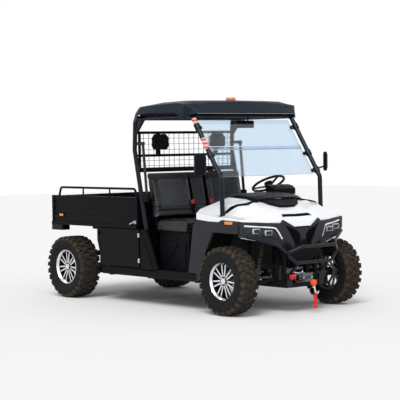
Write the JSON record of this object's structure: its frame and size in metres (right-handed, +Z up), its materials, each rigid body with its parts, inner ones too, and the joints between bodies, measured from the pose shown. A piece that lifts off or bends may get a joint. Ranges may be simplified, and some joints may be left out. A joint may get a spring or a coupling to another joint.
{
  "type": "side by side utility vehicle",
  "caption": "Open-cab utility vehicle with bench seat, roof, half windscreen, tilting cargo bed with drop gate, storage boxes, front guard and winch.",
  "frame": {"origin": "middle of the length and width, on the ground under the vehicle", "axes": "+X forward, +Y to the left of the vehicle, +Z up"},
  "size_m": [3.544, 1.8814, 2.1914],
  "materials": {
    "tyre": "matt moulded rubber",
    "rim": "machined face, black pockets",
    "black_steel": "satin powder coat",
    "frame_steel": "satin powder coat",
    "door_steel": "gloss paint",
    "cage_steel": "semi gloss paint",
    "bare_steel": "zinc plated",
    "dark_plastic": "grained moulding",
    "black_plastic": "grained moulding",
    "white_plastic": "painted gloss",
    "lamp_lens": "clear polycarbonate",
    "amber_lens": "translucent amber",
    "tail_lens": "dark lamp box",
    "mesh": "black mesh",
    "seat_fabric": "coated cloth",
    "webbing": "woven webbing",
    "clear_pane": "clear polycarbonate",
    "hook_steel": "bright",
    "motor_case": "cast"
  },
  "bodies": {
    "chassis": {"amber_lamps": "amber_lens", "body_sides": "black_plastic", "bull_bar": "cage_steel", "dash": "black_plastic", "drive_units": "motor_case", "fenders": "dark_plastic", "floor_pan": "black_plastic", "front_fascia": "dark_plastic", "grille": "mesh", "headlamps": "lamp_lens", "headrests": "seat_fabric", "hood": "white_plastic", "hood_trim": "black_plastic", "main_frame": "frame_steel", "mirrors": "black_plastic", "rear_screen": "mesh", "roll_cage": "cage_steel", "roof": "black_plastic", "seat_back": "seat_fabric", "seat_base": "black_plastic", "seat_belts": "webbing", "seat_cushion": "seat_fabric", "shock_absorbers": "black_steel", "storage_boxes": "black_steel", "suspension_arms": "frame_steel", "winch": "black_steel", "winch_hook": "hook_steel", "windshield": "clear_pane"},
    "wheel_fl": {"tyre_fl": "tyre", "rim_fl": "rim"},
    "wheel_fr": {"tyre_fr": "tyre", "rim_fr": "rim"},
    "wheel_rl": {"tyre_rl": "tyre", "rim_rl": "rim"},
    "wheel_rr": {"tyre_rr": "tyre", "rim_rr": "rim"},
    "steer_knuckle_l": {"knuckle_l": "frame_steel"},
    "steer_knuckle_r": {"knuckle_r": "frame_steel"},
    "rack": {"steering_rack": "bare_steel"},
    "hand_wheel": {"steering_wheel": "black_plastic"},
    "bed": {"cargo_bed": "black_steel", "tail_lamps": "tail_lens"},
    "gate": {"tailgate": "black_steel"},
    "box_door_l": {"storage_door_l": "door_steel"},
    "box_door_r": {"storage_door_r": "door_steel"}
  },
  "joints": [
    {"name": "steer_l", "type": "hinge", "parent": "chassis", "child": "steer_knuckle_l", "pos_m": [1.227, 0.64, 0.343], "axis": [0, 0, 1], "range_deg": [-28, 28]},
    {"name": "steer_r", "type": "hinge", "parent": "chassis", "child": "steer_knuckle_r", "pos_m": [1.227, -0.64, 0.343], "axis": [0, 0, 1], "range_deg": [-28, 28]},
    {"name": "rack_slide", "type": "slide", "parent": "chassis", "child": "rack", "axis": [0, 1, 0], "range_m": [-0.0489, 0.0489]},
    {"name": "hand_wheel_turn", "type": "hinge", "parent": "chassis", "child": "hand_wheel", "pos_m": [0.675, 0.35, 1.268], "axis": [-0.4695, 0, 0.8829], "range_deg": [-253, 253]},
    {"name": "spin_fl", "type": "hinge", "parent": "steer_knuckle_l", "child": "wheel_fl", "pos_m": [1.227, 0.738, 0.343], "axis": [0, 1, 0], "continuous": true},
    {"name": "spin_fr", "type": "hinge", "parent": "steer_knuckle_r", "child": "wheel_fr", "pos_m": [1.227, -0.738, 0.343], "axis": [0, 1, 0], "continuous": true},
    {"name": "spin_rl", "type": "hinge", "parent": "chassis", "child": "wheel_rl", "pos_m": [-1.4, 0.719, 0.343], "axis": [0, 1, 0], "continuous": true},
    {"name": "spin_rr", "type": "hinge", "parent": "chassis", "child": "wheel_rr", "pos_m": [-1.4, -0.719, 0.343], "axis": [0, 1, 0], "continuous": true},
    {"name": "bed_tip", "type": "hinge", "parent": "chassis", "child": "bed", "pos_m": [-1.55, 0, 0.805], "axis": [0, -1, 0], "range_deg": [0, 40]},
    {"name": "gate_drop", "type": "hinge", "parent": "bed", "child": "gate", "pos_m": [-1.759, 0, 0.869], "axis": [0, -1, 0], "range_deg": [0, 90]},
    {"name": "door_l_swing", "type": "hinge", "parent": "chassis", "child": "box_door_l", "pos_m": [-0.164, 0.758, 0.617], "axis": [0, 0, -1], "range_deg": [0, 100]},
    {"name": "door_r_swing", "type": "hinge", "parent": "chassis", "child": "box_door_r", "pos_m": [-0.164, -0.758, 0.617], "axis": [0, 0, 1], "range_deg": [0, 100]}
  ],
  "couplings": [
    {"joint": "steer_r", "follows": "steer_l", "ratio": 1},
    {"joint": "rack_slide", "follows": "steer_l", "m_per_rad": -0.1},
    {"joint": "hand_wheel_turn", "follows": "steer_l", "ratio": 9}
  ]
}
